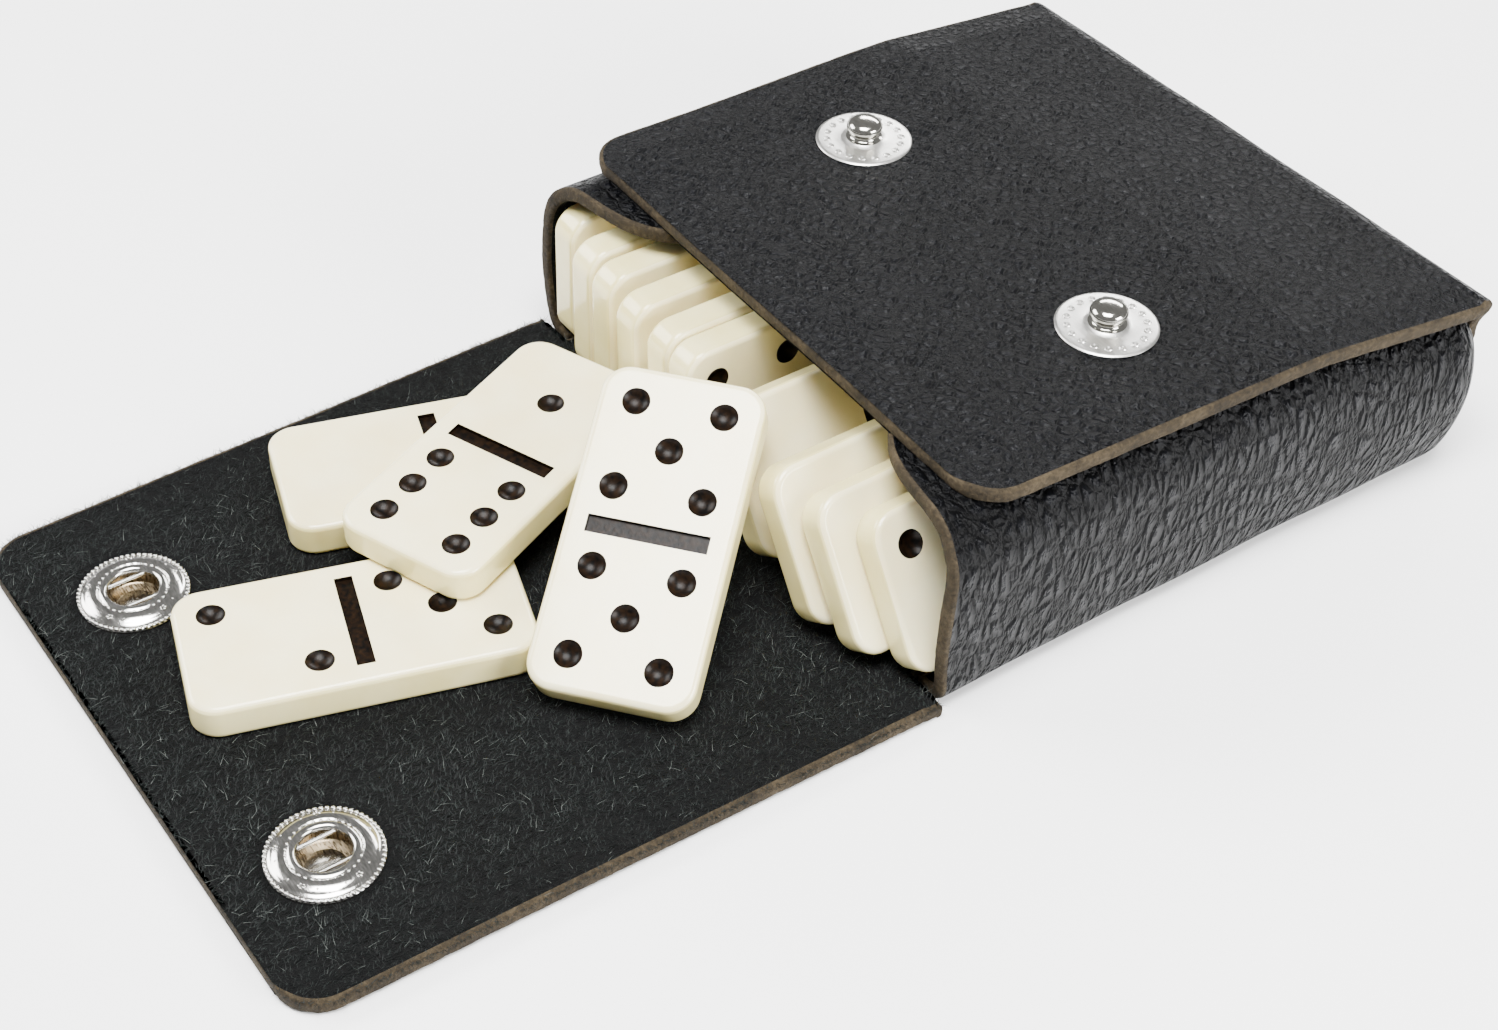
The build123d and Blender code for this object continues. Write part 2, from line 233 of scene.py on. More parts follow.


# %% [markdown]
# ### Grain side of the hide
# Tumbled leather has rounded pebbles with narrow furrows between them. The distance to the edge
# of a Voronoi cell is zero in a furrow and grows towards the pebble, so it serves as the height.
# Two gentle warps make the cells irregular, and a stretched noise adds the larger creases. The
# pebbles are tall on the side walls, where the hide hangs, and finer on top. The colour follows
# the height: the furrows are painted darker as painted shade, under a broad random tone.

# %% Pebbled grain
def grain(name, stretch, pebble, depth, crease):
    """Pebbled full-grain leather: rounded cells between fine furrows, with creases over them."""
    s = Shader(name)
    space = s.warp(s.warp(s.stretch(stretch), 90.0, 0.003), 420.0, 0.0007)
    edge = s.cells(space, pebble).outputs["Distance"]
    pebbles = s.spread(edge, 0.0, 0.34)
    small = s.cells(space, pebble * 2.3).outputs["Distance"]
    fine = s.spread(small, 0.0, 0.30)
    folds = s.noise(s.warp(s.stretch(crease), 60.0, 0.01), 230.0, 4.0, 0.6).outputs["Fac"]
    ridge = s.spread(s.math("ABSOLUTE", s.math("SUBTRACT", folds, 0.5)), 0.0, 0.05)
    pores = s.noise(s.coords, 6500.0, 2.0).outputs["Fac"]
    height = s.math("ADD", s.math("MULTIPLY", pebbles, 0.80), s.math("MULTIPLY", fine, 0.16))
    height = s.math("ADD", height, s.math("MULTIPLY", ridge, 0.22))
    height = s.math("ADD", height, s.math("MULTIPLY", pores, 0.06))
    s.link(s.bump(height, 0.95, depth), s.bsdf.inputs["Normal"])
    # painted shade: the colour follows the pebble height, darker in the furrows, mixed with a broad
    # random tone
    broad = s.noise(s.coords, 45.0, 3.0).outputs["Fac"]
    tone = s.math("ADD", s.math("MULTIPLY", pebbles, 0.6), s.math("MULTIPLY", broad, 0.4))
    s.link(s.ramp(tone, (0.1, (0.0004, 0.0004, 0.0005)), (0.9, (0.0026, 0.0028, 0.0038))),
           s.bsdf.inputs["Base Color"])
    s.link(s.spread(tone, 0.2, 0.9, 0.52, 0.34), s.bsdf.inputs["Roughness"])
    s.set(Specular_IOR_Level=0.12)
    return s.material


# %% [markdown]
# ### Flesh side and cut edge
# The inside is raw suede: matt, nearly black with a green cast, in small tufts with pale lint.
# The cut edge shows undyed olive-brown fibres. Both are noise with a strong bump; a little
# sheen on the suede catches light at a low angle as nap does.

# %% Suede and cut edge
def suede():
    """Split side of the hide: matt dark nap in tufts with pale lint."""
    s = Shader("suede_nap")
    tufts = s.noise(s.warp(s.coords, 300.0, 0.003), 700.0, 5.0, 0.65).outputs["Fac"]
    hairs = s.noise(s.warp(s.stretch((3.0, 1.0, 1.0)), 260.0, 0.006), 2600.0, 3.0, 0.6)
    lint = s.spread(s.noise(s.coords, 3800.0, 1.0).outputs["Fac"], 0.74, 0.80)
    height = s.math("ADD", tufts, s.math("MULTIPLY", hairs.outputs["Fac"], 0.6))
    s.link(s.bump(height, 1.0, 0.0009), s.bsdf.inputs["Normal"])
    tone = s.math("ADD", s.math("MULTIPLY", tufts, 0.8), s.math("MULTIPLY", lint, 0.5))
    s.link(s.ramp(tone, (0.3, (0.0004, 0.0006, 0.0006)), (0.62, (0.0022, 0.0032, 0.0029)),
                  (1.0, (0.035, 0.042, 0.038))), s.bsdf.inputs["Base Color"])
    s.set(Roughness=0.95, Specular_IOR_Level=0.05, Sheen_Weight=0.015, Sheen_Roughness=0.5)
    return s.material


def cut_edge():
    """Raw cut edge: olive-brown fibres with the dark dye of both faces bleeding in."""
    s = Shader("cut_edge")
    fibres = s.noise(s.coords, 1500.0, 4.0, 0.7).outputs["Fac"]
    blotch = s.noise(s.coords, 160.0, 3.0).outputs["Fac"]
    tone = s.math("ADD", s.math("MULTIPLY", fibres, 0.55), s.math("MULTIPLY", blotch, 0.45))
    s.link(s.ramp(tone, (0.32, (0.005, 0.004, 0.003)), (0.5, (0.026, 0.019, 0.010)),
                  (0.74, (0.075, 0.056, 0.032))), s.bsdf.inputs["Base Color"])
    s.link(s.bump(fibres, 0.9, 0.0005), s.bsdf.inputs["Normal"])
    s.set(Roughness=0.9, Specular_IOR_Level=0.2)
    return s.material


# %% [markdown]
# ### Plated metal, ivory resin and pip paint
# The snaps are stamped and nickel-plated: the discs are satin and the stud heads are polished; the disc
# nickel is painted brighter as painted highlight and the head nickel darker as painted shade.
# The dominoes are cast resin, glossy and slightly see-through at the edges; their sides get a
# darker, more olive copy of the resin as painted shade. Their pips and bars hold dark enamel with a
# brown tint.

# %% Metal, resin and paint
def metal(name, dark, light, rough_low, rough_high):
    """Plated metal with handling marks."""
    s = Shader(name)
    marks = s.noise(s.stretch((1.0, 5.0, 1.0)), 900.0, 4.0, 0.6).outputs["Fac"]
    s.link(s.ramp(marks, (0.3, dark), (0.7, light)), s.bsdf.inputs["Base Color"])
    s.link(s.spread(marks, 0.3, 0.75, rough_low, rough_high), s.bsdf.inputs["Roughness"])
    s.link(s.bump(marks, 0.05, 0.0001), s.bsdf.inputs["Normal"])
    s.set(Metallic=1.0)
    return s.material


def resin(name, low, high):
    """Glossy cast resin with very faint clouding."""
    s = Shader(name)
    cloud = s.noise(s.coords, 120.0, 3.0).outputs["Fac"]
    s.link(s.ramp(cloud, (0.35, low), (0.65, high)), s.bsdf.inputs["Base Color"])
    ripple = s.noise(s.coords, 260.0, 2.0).outputs["Fac"]
    s.link(s.bump(ripple, 0.25, 0.00012), s.bsdf.inputs["Normal"])
    s.link(s.spread(cloud, 0.3, 0.7, 0.16, 0.24), s.bsdf.inputs["Roughness"])
    s.set(Coat_Weight=0.35, Coat_Roughness=0.06, Subsurface_Weight=0.18,
          Subsurface_Scale=0.002, Subsurface_Radius=(1.0, 0.75, 0.4))
    return s.material


def paint():
    """Dark enamel at the bottom of the drilled pips and bars."""
    s = Shader("pip_paint")
    brush = s.noise(s.coords, 1300.0, 3.0).outputs["Fac"]
    s.link(s.ramp(brush, (0.35, (0.0015, 0.0012, 0.001)), (0.8, (0.014, 0.007, 0.003))),
           s.bsdf.inputs["Base Color"])
    s.link(s.bump(brush, 0.2, 0.0002), s.bsdf.inputs["Normal"])
    s.set(Roughness=0.34, Specular_IOR_Level=0.10)
    return s.material


# %% The finishes of this set
TOP_GRAIN = grain("grain_top", (1.0, 1.0, 1.0), 640.0, 0.00075, (1.0, 0.5, 1.0))
SIDE_GRAIN = grain("grain_side", (1.0, 1.25, 0.62), 420.0, 0.0014, (1.0, 1.2, 0.5))
UNDER_GRAIN = grain("grain_under", (1.0, 1.0, 1.0), 500.0, 0.0005, (1.0, 1.0, 1.0))
SUEDE = suede()
EDGE = cut_edge()
NICKEL = metal("nickel_plate", (0.40, 0.39, 0.37), (0.58, 0.57, 0.54), 0.10, 0.20)
# painted highlight: the disc nickel is a brighter copy of the plate
SATIN_NICKEL_PAINTED_HIGHLIGHT = metal("satin_nickel_painted_highlight", (0.62, 0.61, 0.58), (0.74, 0.73, 0.70), 0.30, 0.40)
# painted shade: the head nickel is a darker copy of the plate
HEAD_NICKEL_PAINTED_SHADE = metal("head_nickel_painted_shade", (0.40, 0.39, 0.35), (0.50, 0.49, 0.45), 0.10, 0.16)
BRASS = metal("socket_inside", (0.20, 0.15, 0.09), (0.42, 0.34, 0.22), 0.22, 0.40)
IVORY = resin("ivory_face", (0.86, 0.76, 0.44), (0.90, 0.82, 0.52))
# painted shade: a darker, more olive copy of the ivory for the tile sides
IVORY_SIDE_PAINTED_SHADE = resin("ivory_side_painted_shade", (0.72, 0.63, 0.28), (0.78, 0.70, 0.36))
PAINT = paint()

# %% [markdown]
# ## Leather sheets
# A leather panel has a grain face, a suede face and a visible cut edge of even thickness. A
# Solidify modifier could thicken a sheet, but its rim would be square. Here one builder takes a
# grid of points on the middle of the hide, and makes both skins and a rounded, slightly frayed
# rim, each with its own finish.

# %% Sheet builder
RIM = 0.7
RIM_STEPS = (75, 55, 30, 10, -10, -30, -55, -75)


def slab(name, grid, materials, open_sides=(), thickness=LEATHER):
    """Thick sheet from a grid of middle points in mm. materials are (outer, inner, edge)."""
    rows, columns = len(grid), len(grid[0])
    bm = bmesh.new()

    def at(i, j):
        return grid[min(max(i, 0), rows - 1)][min(max(j, 0), columns - 1)]

    normals = [[(at(i + 1, j) - at(i - 1, j)).cross(at(i, j + 1) - at(i, j - 1)).normalized()
                for j in range(columns)] for i in range(rows)]
    loop = [(0, j) for j in range(columns)] + [(i, columns - 1) for i in range(1, rows)]
    loop += [(rows - 1, j) for j in range(columns - 2, -1, -1)]
    loop += [(i, 0) for i in range(rows - 2, 0, -1)]

    def is_open(i, j):
        flags = {"start": i == 0, "end": i == rows - 1}
        return any(flags[side] for side in open_sides)

    outward = {}
    for k, (i, j) in enumerate(loop):
        a, b = loop[k - 1], loop[(k + 1) % len(loop)]
        if is_open(i, j):
            side = grid[i][j] - grid[i][columns // 2]
            corner = j in (0, columns - 1)
            outward[(i, j)] = side.normalized() if corner else Vector((0, 0, 0))
            continue
        along = (grid[b[0]][b[1]] - grid[a[0]][a[1]]).normalized()
        direction = along.cross(normals[i][j])
        inner = grid[min(max(i, 1), rows - 2)][min(max(j, 1), columns - 2)]
        if direction.dot(grid[i][j] - inner) < 0:
            direction = -direction
        outward[(i, j)] = direction.normalized()
    half = thickness / 2

    def skin(sign, material):
        verts = []
        for i in range(rows):
            line = []
            for j in range(columns):
                point = grid[i][j] + normals[i][j] * half * sign
                if (i, j) in outward:
                    point = point - outward[(i, j)] * RIM
                line.append(bm.verts.new(place(point)))
            verts.append(line)
        for i in range(rows - 1):
            for j in range(columns - 1):
                corners = (verts[i][j], verts[i + 1][j], verts[i + 1][j + 1], verts[i][j + 1])
                face = bm.faces.new(corners)
                face.material_index = material
        return verts

    upper, lower = skin(1, 0), skin(-1, 1)
    rings = [[upper[i][j] for i, j in loop]]
    for angle in RIM_STEPS:
        high = math.copysign(abs(math.sin(math.radians(angle))) ** 0.6, angle) * half
        reach = RIM * (math.cos(math.radians(angle)) ** 0.6 - 1.0)
        ring = []
        for i, j in loop:
            fray = wobble(*grid[i][j], 1.1, 0.10, seed=angle * 0.01)
            point = grid[i][j] + normals[i][j] * high + outward[(i, j)] * (reach + fray)
            ring.append(bm.verts.new(place(point)))
        rings.append(ring)
    rings.append([lower[i][j] for i, j in loop])
    for ring_a, ring_b in zip(rings, rings[1:]):
        for k in range(len(loop)):
            n = (k + 1) % len(loop)
            if is_open(*loop[k]) and is_open(*loop[n]):
                continue
            bm.faces.new((ring_a[k], ring_a[n], ring_b[n], ring_b[k])).material_index = 2
    return new_object(name, bm, materials, 60.0)


def spaced(low, high, step):
    """Evenly spaced numbers from low to high, about one step apart."""
    count = max(2, int(round(abs(high - low) / step)))
    return [low + (high - low) * k / count for k in range(count + 1)]


def arc_points(centre, radius, start, end, step):
    """Points of an arc in the plane of the profile, angles in degrees."""
    count = max(3, int(abs(math.radians(end - start)) * radius / step))
    made = []
    for k in range(count + 1):
        angle = math.radians(start + (end - start) * k / count)
        made.append((centre[0] + radius * math.cos(angle), centre[1] + radius * math.sin(angle)))
    return made


def resample(points, step):
    """Evenly spaced points along a polyline of (a, b) pairs."""
    lengths = [math.dist(p, q) for p, q in zip(points, points[1:])]
    total = sum(lengths)
    count = int(round(total / step))
    made, index, gone = [], 0, 0.0
    for k in range(count + 1):
        target = total * k / count
        while index < len(lengths) - 1 and gone + lengths[index] < target:
            gone += lengths[index]
            index += 1
        t = (target - gone) / max(lengths[index], 1e-9)
        p, q = points[index], points[index + 1]
        made.append((p[0] + (q[0] - p[0]) * t, p[1] + (q[1] - p[1]) * t))
    return made


# %% [markdown]
# ## Side panels
# Each side wall rises from the floor, bulges a little, turns over a rounded shoulder and runs
# under the top flap as a wing. Its front edge bows on the wall and curves back on the wing. The
# panel is one section swept to the back and turned in at the rear corner, because the real one
# is a single bent piece with no seam.

# %% Side panels
def side_section():
    """Middle line of one side panel from its foot to the end of its wing, as (x, z)."""
    t = LEATHER / 2
    half, top = 49.6, 30.4
    points = [(44.3, t)] + arc_points((half - 3.8, 3.8), 3.8 - t, -90, 0, 0.7)
    points += arc_points((half - 8.0, top - 8.0), 8.0 - t, 0, 90, 0.7) + [(21.7, top - t)]
    return resample(points, 0.8)


def front_of_side(x, z):
    """The front edge of a side panel: bowed on the wall, running back on the wing."""
    wall = -1.2 * math.sin(math.pi * min(max(z / 28.0, 0.0), 1.0)) + 0.2
    reach = min(max((47.0 - x) / 26.0, 0.0), 1.0)
    return wall + (3.4 * reach ** 0.8 + 11.5 * reach ** 5) * (1.0 if z > 20 else 0.0)


def side_panel(side, name):
    """Wall, shoulder and wing, turned in behind at the rear corner."""
    corner, centre_y = 6.0, 93.0
    grid = []
    for x, z in side_section():
        first = front_of_side(x, z) + RIM * 0.2
        depth = min(48.5 - x, corner - 0.4)
        line = []
        for t in spaced(0.0, 1.0, 1.0 / 84):
            y = first + (centre_y - first) * t
            tall = math.sin(math.pi * min(max(z / 30.0, 0.0), 1.0)) ** 0.8
            bulge = (0.7 + 3.4 * (y / 93.0) ** 2 * (1.0 if y > 0 else 0.0)) * tall
            uneven = wobble(x, y, z, 17.0, 0.35, seed=2.0 * side)
            sag = 0.118 * max(y - 66.0, 0.0) * max(z - 14.0, 0.0) / 16.0
            wide = x + ((bulge + uneven) if x > 42 else 0.0) * min(max((x - 42) / 4, 0), 1)
            line.append(Vector((side * wide, y, z - sag)))
        last = line[-1]
        wide = abs(last.x)
        for angle in range(10, 91, 10):
            turn = math.radians(angle)
            reach = corner - depth
            line.append(Vector((side * (wide - reach * (1 - math.cos(turn))),
                                last.y + reach * math.sin(turn), last.z)))
        back = line[-1]
        for shift in (2.0, 4.0, 6.0):
            line.append(Vector((back.x - side * shift, back.y, back.z)))
        grid.append(line if side > 0 else list(reversed(line)))
    piece = slab(name, grid, (SUEDE, SIDE_GRAIN, EDGE))
    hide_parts(name.replace("_skin", ""))
    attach(piece, "case")
    return piece


side_panel(-1, "left_side_panel_skin")
side_panel(1, "right_side_panel_skin")

# %% [markdown]
# ## Back and top flap
# The back and the top flap are one strip: it rises from the base, folds over tightly, falls
# a little towards the back and ends in two rounded corners over the mouth. Its width changes
# along the way, so the strip is drawn as stations along its middle line.

# %% Back and top flap
def strip_line():
    """Middle line of the strip from the base, up the back and over to the front, as (y, z)."""
    t = LEATHER / 2
    bend = 5.0
    foot = CASE_BACK - bend
    points = [(foot - 3.0, t), (foot, t)] + arc_points((foot, bend), bend - t, -90, 0, 0.6)
    points += [(CASE_BACK - t, 22.4)] + arc_points((96.6, 23.9), 4.3, 0, 84, 0.5)
    points += [(66.0, TOP - t - 0.12), (60.0, TOP - t), (6.2, TOP - t)]
    return resample(points, 0.9)


def strip_half(distance, y, z, side):
    """Half width of the strip at one side."""
    if z < 16.0:
        return 43.8 + 4.2 * min(max((z - 5.0) / 8.0, 0.0), 1.0)
    if y > 99.0:
        rise = min(max((z - 21.0) / 7.0, 0.0), 1.0)
        return 48.0 + 2.6 * rise * rise * (3 - 2 * rise)
    along = min(max((y - 6.0) / 90.0, 0.0), 1.0)
    full = (46.9 + 4.3 * along) if side > 0 else (49.7 + 0.8 * along)
    radius = 6.5
    if distance < radius and y < 30:
        full -= radius - math.sqrt(max(radius ** 2 - (radius - distance) ** 2, 0.0))
    return full


def back_and_top():
    line = strip_line()
    near = [(6.2 + 6.5 * (1 - math.cos(math.radians(a))), TOP - LEATHER / 2)
            for a in range(0, 91, 9)]
    line = [p for p in line if p[1] < 31.0 or p[0] > 13.4] + list(reversed(near))
    columns = 66
    grid = []
    for y, z in line:
        distance = y - 6.2
        left = strip_half(distance, y, z, -1)
        right = strip_half(distance, y, z, 1)
        row = []
        for k in range(columns + 1):
            x = -left + (left + right) * k / columns
            skew = -0.6 * (x / 50.0) if y < 30 else 0.0
            curl = 0.0
            if z > 28:
                curl = wobble(x, y, 0, 30.0, 0.35) - 0.5 * max(abs(x) - 44.0, 0.0) / 6.0
            dent = wobble(x, 0, z, 22.0, 0.4) if y > 98 else 0.0
            row.append(Vector((x, y + skew + dent, z + curl)))
        grid.append(row)
    piece = slab("back_and_top_skin", grid, (TOP_GRAIN, SUEDE, EDGE))
    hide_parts("back_panel", "top_flap")
    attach(piece, "case")


back_and_top()

# %% [markdown]
# ## Base and folding flap
# The floor of the case, the front wall and the closing flap are one hide. A soft piece can bend
# over one joint only, so it is drawn as two pieces that meet in the middle of the front wall,
# with no rim where they meet. The free end has rounded corners and slightly hollow sides.

# %% Base and flap
JOIN = -18.0


def flap_half(y):
    """Half width of the hide in front of the mouth, with its slightly hollow sides."""
    if y > -0.5:
        return 44.0
    part = min(y / FLAP_END, 1.0)
    half = 50.6 - 1.2 * part - 1.6 * part ** 2
    half -= 0.5 * math.sin(math.pi * part)
    distance = y - FLAP_END
    if distance < 6.0:
        half -= 6.0 - math.sqrt(max(36.0 - (6.0 - distance) ** 2, 0.0))
    return half


def flap_grid(stations):
    columns = 60
    grid = []
    for y in stations:
        half = flap_half(y)
        row = []
        for k in range(columns + 1):
            x = -half + 2 * half * k / columns
            edge = abs(x) / 50.0
            lift = (0.35 * edge ** 6 + wobble(x, y, 0, 26.0, 0.12)) if y < -3 else 0.0
            row.append(Vector((x, y, LEATHER / 2 + max(lift, 0.0) * 0.6)))
        grid.append(row)
    return grid


near_end = [FLAP_END + 6.0 * (1 - math.cos(math.radians(a))) for a in range(0, 91, 10)]
inner_stations = [96.0, 80.0, 60.0, 40.0, 20.0, 8.0, 2.0, 0.0, -0.45] + spaced(-0.55, JOIN, 0.7)
outer_stations = spaced(JOIN, FLAP_END + 6.6, 1.0) + list(reversed(near_end))
base_skin = slab("base_and_front_skin", flap_grid(inner_stations), (SUEDE, UNDER_GRAIN, EDGE),
                 open_sides=("end",))
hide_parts("base_panel", "front_wall")
flap_skin = slab("closing_flap_skin", flap_grid(outer_stations), (SUEDE, UNDER_GRAIN, EDGE),
                 open_sides=("start",))

# %% [markdown]
# The suede skin is opened under each socket, so that the cup shows through the ring, and the
# grain skin is pressed in where the cover sits.

# %% Openings for the sockets
cut_bm = bmesh.new()
cut_bm.from_mesh(flap_skin.data)
SNAP_CENTRES = [place((x, SOCKET_Y, 0)).xy for x in (-SNAP_X, SNAP_X)]


def from_snap(point):
    """Distance in metres to the nearer socket's middle, seen from above."""
    return min((point.xy - centre).length for centre in SNAP_CENTRES)


under_rings = [face for face in cut_bm.faces
               if face.material_index == 0 and from_snap(face.calc_center_median()) < 5.2 * MM]
bmesh.ops.delete(cut_bm, geom=under_rings, context="FACES")
for vert in cut_bm.verts:
    if from_snap(vert.co) < 7.6 * MM and vert.co.z < 0.5 * MM:
        vert.co.z = 0.22 * MM
cut_bm.to_mesh(flap_skin.data)
cut_bm.free()
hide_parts("closing_flap")
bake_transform(base_skin)
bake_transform(flap_skin)

# %% [markdown]
# ## Nap
# Suede is made of loose fibres, and at this distance single ones are seen against the light,
# most of all along the cut edges. Hair particles wouldn't reach the exported model, so each
# fibre is a bent, narrowing strip of three faces. A few are pale lint. Fibres stay clear of the
# sockets, which press the nap flat.

# %% Nap fibres
def fibre_material(name, low, high):
    s = Shader(name)
    tint = s.noise(s.coords, 2400.0, 1.0).outputs["Fac"]
    s.link(s.ramp(tint, (0.35, low), (0.65, high)), s.bsdf.inputs["Base Color"])
    s.set(Roughness=0.6, Specular_IOR_Level=0.18)
    return s.material


NAP = fibre_material("nap_fibre", (0.0006, 0.0009, 0.0009), (0.009, 0.013, 0.0115))
LINT = fibre_material("lint_fibre", (0.05, 0.06, 0.055), (0.13, 0.14, 0.13))


def fibre(bm, root, heading, length, rise, width, material):
    """One bent fibre of three faces that narrows to a point."""
    along = Vector((math.cos(heading), math.sin(heading), 0))
    across = Vector((-along.y, along.x, 0))
    bend = random.uniform(-0.35, 0.35) * length
    stops = []
    for t in (0.0, 0.4, 0.75, 1.0):
        spine = Vector(root) + along * length * t + across * bend * t * t
        spine.z += rise * math.sin(math.pi * min(t * 0.62, 1.0))
        wide = width * (1.0 - t) * 0.5
        stops.append((bm.verts.new(place(spine - across * wide)),
                      bm.verts.new(place(spine + across * wide))) if t < 1.0
                     else (bm.verts.new(place(spine)),))
    for a, b in zip(stops, stops[1:]):
        corners = (a[0], a[1], b[1], b[0]) if len(b) == 2 else (a[0], a[1], b[0])
        bm.faces.new(corners).material_index = material


def nap(name, low, high, count, edge_count, seed):
    random.seed(seed)
    bm = bmesh.new()
    for _ in range(count):
        y = random.uniform(low, high)
        half = flap_half(y)
        x = random.uniform(-half, half)
        if math.hypot(abs(x) - SNAP_X, y - SOCKET_Y) < 8.4:
            continue
        clump = noise.noise(Vector((x / 4.0, y / 4.0, 3.0)))
        heading = 2.2 + 2.0 * clump + random.gauss(0, 0.9)
        lint = random.random() < 0.035
        length = random.uniform(1.2, 2.6) if lint else random.uniform(0.5, 1.5)
        fibre(bm, (x, y, LEATHER - 0.02), heading, length, random.uniform(0.12, 0.45),
              0.05 if lint else 0.09, 1 if lint else 0)
    for _ in range(edge_count):
        y = random.uniform(low, high)
        side = random.choice((-1, 1))
        x = side * (flap_half(y) - random.uniform(0.0, 0.8))
        heading = (0.0 if side > 0 else math.pi) + random.gauss(0, 0.7)
        fibre(bm, (x, y, LEATHER - random.uniform(0.0, 0.5)), heading, random.uniform(0.4, 1.3),
              random.uniform(0.0, 0.25), 0.08, 0)
    if low <= FLAP_END:
        for _ in range(edge_count // 2):
            x = random.uniform(-42.0, 42.0)
            fibre(bm, (x, FLAP_END + random.uniform(0.2, 0.9), LEATHER - random.uniform(0.0, 0.5)),
                  -math.pi / 2 + random.gauss(0, 0.6), random.uniform(0.3, 0.9), 0.1, 0.08, 0)
    piece = new_object(name, bm, (NAP, LINT), 180.0)
    return piece


base_nap = nap("front_nap", JOIN, -0.2, 7500, 700, 11)
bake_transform(base_nap)
flap_nap = nap("flap_nap", FLAP_END, JOIN, 26000, 2600, 12)
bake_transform(flap_nap)

# %% [markdown]
# ## Press studs
# The studs on the top flap have a disc with a ring of stamped dots and a round head on a neck.
# The sockets on the flap have a domed ring between two rows of beads, and two spring wires
# across a brown cup. All of them are round, so a profile is spun, and the dots, beads and small
# plain stars are set round it by angle.

# %% Studs
SNAPS = (("left", -SNAP_X), ("right", SNAP_X))


def press_stud(name, x):
    bm = bmesh.new()
    here = Matrix.Translation(place((x, STUD_Y, TOP)))
    lathe(bm, [(0.0, -0.02), (7.4, -0.02), (7.42, 0.12), (7.25, 0.28), (6.9, 0.34), (5.0, 0.32),
               (3.7, 0.33), (3.2, 0.42), (2.8, 0.66)], here, material=1)
    lathe(bm, [(2.8, 0.66), (2.6, 0.76), (2.35, 0.84), (2.12, 1.10), (2.10, 1.42), (2.3, 1.66),
               (2.58, 1.90), (2.74, 2.25), (2.74, 2.62), (2.58, 2.98), (2.25, 3.32), (1.7, 3.58),
               (0.9, 3.72), (0.0, 3.75)], here)
    for k in range(18):
        angle = math.tau * k / 18
        centre = (5.75 * math.cos(angle), 5.75 * math.sin(angle), 0.30)
        lathe(bm, [(0.0, 0.02), (0.22, 0.04), (0.40, 0.16), (0.50, 0.17), (0.62, 0.0)],
              here @ Matrix.Translation(Vector(centre) * MM), 12, material=1)
    # the head gets the darker nickel as painted shade, the disc and dots the brighter one as painted
    # highlight
    piece = new_object(name, bm, (HEAD_NICKEL_PAINTED_SHADE, SATIN_NICKEL_PAINTED_HIGHLIGHT), 50.0)
    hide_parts(name.replace("_shell", ""))
    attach(piece, "case")


for side, x in SNAPS:
    press_stud(f"{side}_stud_shell", x)

# %% Sockets
def press_socket(side, x):
    here = Matrix.Translation(place((x, SOCKET_Y, LEATHER)))
    bm = bmesh.new()
    lathe(bm, [(7.72, -0.05), (7.72, 0.30), (7.55, 0.55), (7.2, 0.62), (7.0, 0.60), (6.6, 0.95),
               (6.0, 1.26), (5.4, 1.40), (4.95, 1.38), (4.75, 1.24), (4.6, 1.36), (4.3, 1.50),
               (3.95, 1.52), (3.62, 1.38), (3.47, 1.10), (3.47, 0.85), (3.9, 0.7)], here, 96)
    for k in range(60):
        angle = math.tau * k / 60
        bead(bm, here, (7.38 * math.cos(angle), 7.38 * math.sin(angle), 0.50), 0.36, 0.9)
    for k in range(32):
        angle = math.tau * k / 32
        bead(bm, here, (4.78 * math.cos(angle), 4.78 * math.sin(angle), 1.21), 0.28, 0.9)
    for k in range(5):
        turn = math.tau * k / 5 + 0.3
        for arm in range(5):
            angle = math.tau * arm / 5 + turn
            centre = (6.0 * math.cos(turn) + 0.34 * math.cos(angle),
                      6.0 * math.sin(turn) + 0.34 * math.sin(angle), 1.22)
            bead(bm, here, centre, 0.20, 0.6)
        for low in (-0.34, 0.34):
            angle = turn + low
            bead(bm, here, (6.05 * math.cos(angle), 6.05 * math.sin(angle), 1.20), 0.16, 0.8)
    ring = new_object(f"{side}_socket_ring", bm, (NICKEL,), 50.0)
    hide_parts(f"{side}_socket")
    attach(ring, "closing_flap")
    bm = bmesh.new()
    lathe(bm, [(3.9, 0.72), (4.2, 0.3), (4.2, -1.6), (3.9, -1.84), (1.6, -1.86), (0.0, -1.86)], here, 64)
    cup = new_object(f"{side}_socket_cup", bm, (BRASS,), 50.0)
    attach(cup, "closing_flap")
    bm = bmesh.new()
    for offset in (-2.48, 2.48):
        rod = Matrix.Translation(Vector((offset, 0, 0.74)) * MM) @ Matrix.Rotation(math.pi / 2, 4, "X")
        bmesh.ops.create_cone(bm, cap_ends=True, segments=16, radius1=0.28 * MM, radius2=0.28 * MM,
                              depth=6.4 * MM, matrix=here @ rod)
    wires = new_object(f"{side}_spring_wires", bm, (NICKEL,), 50.0)
    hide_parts(f"{side}_socket_springs")
    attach(wires, "closing_flap")


for side, x in SNAPS:
    press_socket(side, x)

# %% [markdown]
# ## Dominoes
# A domino is a rounded block with drilled pips and a milled bar. The block is a cube with two
# bevels. Pips could be dark discs laid on top, but real ones are hollows that catch the light,
# so a Boolean cuts them with slightly rough balls, and the cutter's paint stays on the cut.

# %% Domino builder
TILE_L, TILE_W, TILE_T = 46.6, 23.2, 5.3
PIP_R, PIP_DEPTH, PIP_STEP = 1.98, 0.95, 6.2
HALF_CENTRE = 11.95
PIPS = {
    0: [],
    1: [(0, 0)],
    2: [(-1, 1), (1, -1)],
    3: [(-1, 1), (0, 0), (1, -1)],
    4: [(-1, -1), (-1, 1), (1, -1), (1, 1)],
    5: [(-1, -1), (-1, 1), (0, 0), (1, -1), (1, 1)],
    6: [(-1, -1), (0, -1), (1, -1), (-1, 1), (0, 1), (1, 1)],
}


